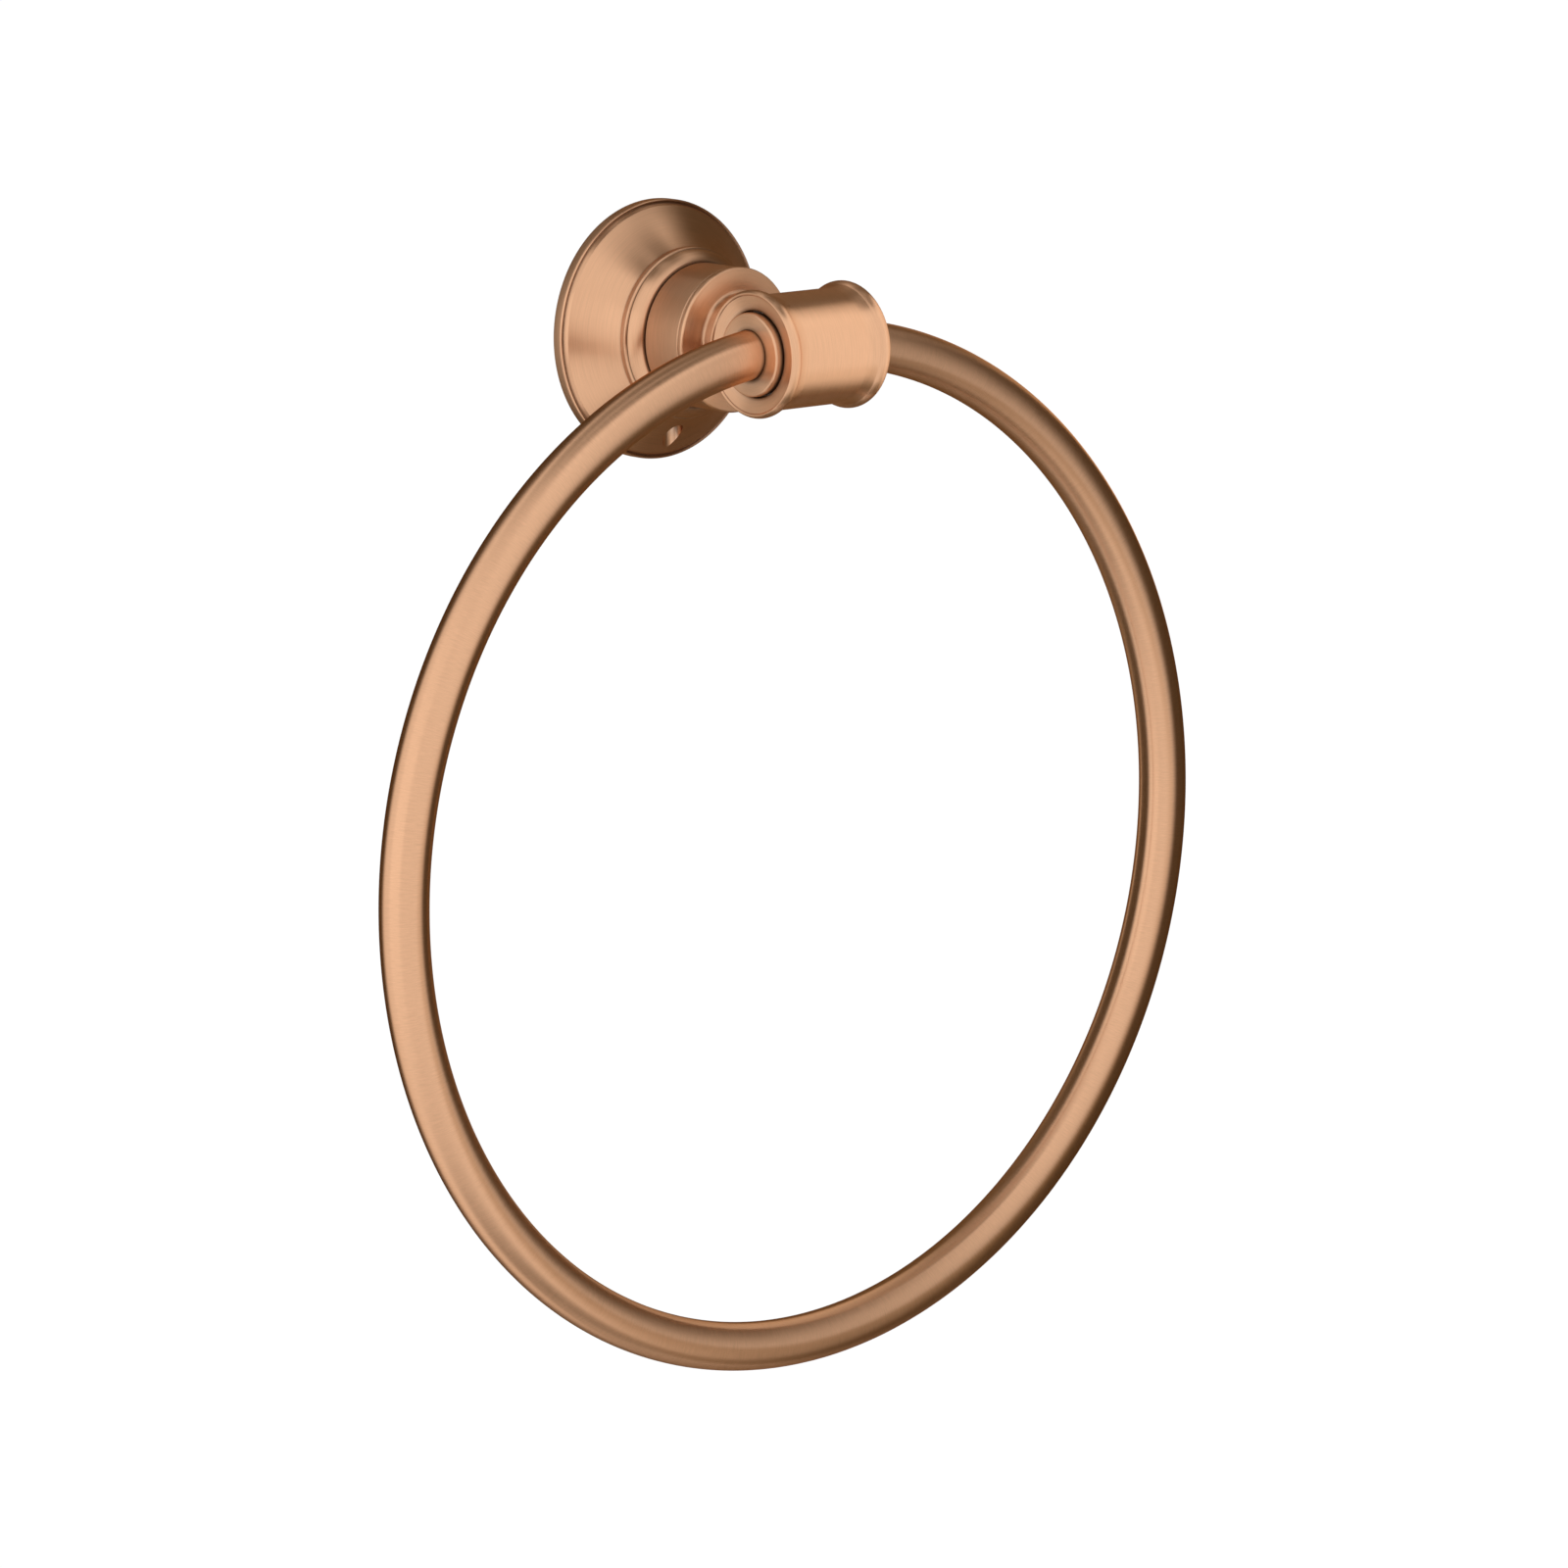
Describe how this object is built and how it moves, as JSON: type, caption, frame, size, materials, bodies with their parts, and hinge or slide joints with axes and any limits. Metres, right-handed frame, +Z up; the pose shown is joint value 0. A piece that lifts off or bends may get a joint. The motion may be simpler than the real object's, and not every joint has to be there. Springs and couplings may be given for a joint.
{
  "type": "towel ring",
  "caption": "Wall-mounted towel ring: a stepped round flange and short post carry a crosswise barrel in which a large open ring of bent tube swings.",
  "frame": {"origin": "centre of the round flange's back, on the wall plane", "axes": "-Y points out from the wall to the front, +Y into the wall, +X to the right when seen from the front, +Z up"},
  "size_m": [0.2168, 0.059, 0.2377],
  "materials": {
    "bronze": "fine brushed, rose bronze",
    "steel": "plain zinc-plated",
    "nylon": "moulded, matt"
  },
  "bodies": {
    "base": {"wall_plate": "steel", "flange": "bronze", "flange_grub_screw": "steel", "post": "bronze", "collar": "bronze", "barrel": "bronze", "tie_bolt": "steel", "tie_bolt_washer": "steel", "left_bearing_sleeve": "nylon", "right_bearing_sleeve": "nylon"},
    "swinging_ring": {"ring": "bronze", "left_journal": "bronze", "right_journal": "bronze"}
  },
  "joints": [
    {"name": "ring_swing", "type": "hinge", "parent": "base", "child": "swinging_ring", "pos_m": [0, -0.046, 0], "axis": [-1, 0, 0], "range_deg": [-11.3, 191.3]}
  ]
}
